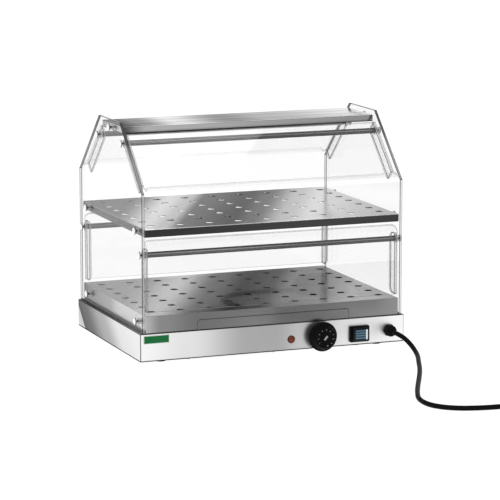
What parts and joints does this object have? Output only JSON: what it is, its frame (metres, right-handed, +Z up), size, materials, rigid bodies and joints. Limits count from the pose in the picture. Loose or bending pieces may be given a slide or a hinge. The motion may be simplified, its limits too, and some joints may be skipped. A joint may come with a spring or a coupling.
{
  "type": "heated countertop display case",
  "caption": "Countertop hot food display case: stainless heated base, perforated shelves, clear house-shaped side panels, hinged clear flaps, thermostat knob, switch and power cord.",
  "frame": {"origin": "on the table, under the middle of the case's bounding box, measured without the cord, its coil and its plug", "axes": "+Z up, +X to the right along the long side seen from the control side, +Y from the control side to the back"},
  "size_m": [0.6125, 0.8843, 0.4093],
  "materials": {
    "polished_steel": "polished stainless sheet",
    "brushed_steel": "brushed stainless sheet",
    "zinc_steel": "zinc-plated steel",
    "clear_acrylic": "clear polished acrylic",
    "rod_steel": "polished bar",
    "screw_chrome": "polished screw head",
    "black_rubber": "matt",
    "nylon_clear": "translucent nylon",
    "black_plastic": "satin moulded",
    "gloss_black": "gloss",
    "mark_white": "pad printed",
    "amber_lens": "translucent amber",
    "cover_clear": "clear flexible cover",
    "badge_green": "plain enamelled plate",
    "element_steel": "heat-tinted tube",
    "mineral_wool": "felted board",
    "ceramic_white": "terminal strip",
    "copper": "bare metal tube",
    "lead_sheath": "heat-proof lead sheath",
    "cord_rubber": "satin"
  },
  "bodies": {
    "case": {"base_shell": "polished_steel", "base_bottom_plate": "zinc_steel", "rubber_feet": "black_rubber", "foot_screws": "screw_chrome", "foot_nuts": "zinc_steel", "bottom_screws": "zinc_steel", "lower_shelf": "brushed_steel", "upper_shelf": "brushed_steel", "water_tray_rails": "zinc_steel", "side_panel_right": "clear_acrylic", "side_panel_left": "clear_acrylic", "top_cover": "polished_steel", "rod_front_upper": "rod_steel", "rod_rear_upper": "rod_steel", "rod_front_lower": "rod_steel", "rod_rear_lower": "rod_steel", "rod_end_screws": "screw_chrome", "shelf_screws": "screw_chrome", "cover_screws": "screw_chrome", "panel_washers": "nylon_clear", "panel_nuts": "zinc_steel", "flap_spacers": "black_plastic", "heating_element": "element_steel", "element_posts": "zinc_steel", "insulation_mat": "mineral_wool", "heat_shield": "zinc_steel", "thermostat_bulb": "copper", "thermostat_body": "ceramic_white", "pilot_lens": "amber_lens", "pilot_body": "black_plastic", "switch_frame": "gloss_black", "switch_pin": "zinc_steel", "switch_cover": "cover_clear", "switch_body": "black_plastic", "gland_body": "black_plastic", "gland_nut": "black_plastic", "gland_locknut": "black_plastic", "terminal_block": "ceramic_white", "earth_stud": "zinc_steel", "internal_leads": "lead_sheath", "badge_plate": "badge_green", "power_cord": "cord_rubber", "cord_coil": "cord_rubber", "cord_plug": "black_plastic"},
    "front_upper_flap": {"front_upper_flap_sheet": "clear_acrylic", "front_upper_flap_cheeks": "clear_acrylic"},
    "rear_upper_flap": {"rear_upper_flap_sheet": "clear_acrylic", "rear_upper_flap_cheeks": "clear_acrylic"},
    "front_lower_flap": {"front_lower_flap_sheet": "clear_acrylic", "front_lower_flap_cheeks": "clear_acrylic"},
    "rear_lower_flap": {"rear_lower_flap_sheet": "clear_acrylic", "rear_lower_flap_cheeks": "clear_acrylic"},
    "water_tray": {"water_tray_pan": "brushed_steel", "water_tray_front": "brushed_steel"},
    "knob": {"knob": "black_plastic", "knob_mark": "mark_white", "thermostat_shaft": "zinc_steel"},
    "rocker": {"switch_rocker": "black_plastic"}
  },
  "joints": [
    {"name": "front_upper_hinge", "type": "hinge", "parent": "case", "child": "front_upper_flap", "pos_m": [0, -0.0565, 0.3733], "axis": [-1, 0, 0], "range_deg": [0, 110]},
    {"name": "rear_upper_hinge", "type": "hinge", "parent": "case", "child": "rear_upper_flap", "pos_m": [0, 0.0765, 0.3733], "axis": [1, 0, 0], "range_deg": [0, 110]},
    {"name": "front_lower_hinge", "type": "hinge", "parent": "case", "child": "front_lower_flap", "pos_m": [0, -0.151, 0.1907], "axis": [-1, 0, 0], "range_deg": [0, 100]},
    {"name": "rear_lower_hinge", "type": "hinge", "parent": "case", "child": "rear_lower_flap", "pos_m": [0, 0.171, 0.1907], "axis": [1, 0, 0], "range_deg": [0, 100]},
    {"name": "water_tray_slide", "type": "slide", "parent": "case", "child": "water_tray", "axis": [0, -1, 0], "range_m": [0, 0.2]},
    {"name": "knob_turn", "type": "hinge", "parent": "case", "child": "knob", "pos_m": [0.0877, -0.185, 0.0274], "axis": [0, 1, 0], "range_deg": [0, 270]},
    {"name": "rocker_tilt", "type": "hinge", "parent": "case", "child": "rocker", "pos_m": [0.162, -0.164, 0.0255], "axis": [0, 0, 1], "range_deg": [0, 16]}
  ]
}
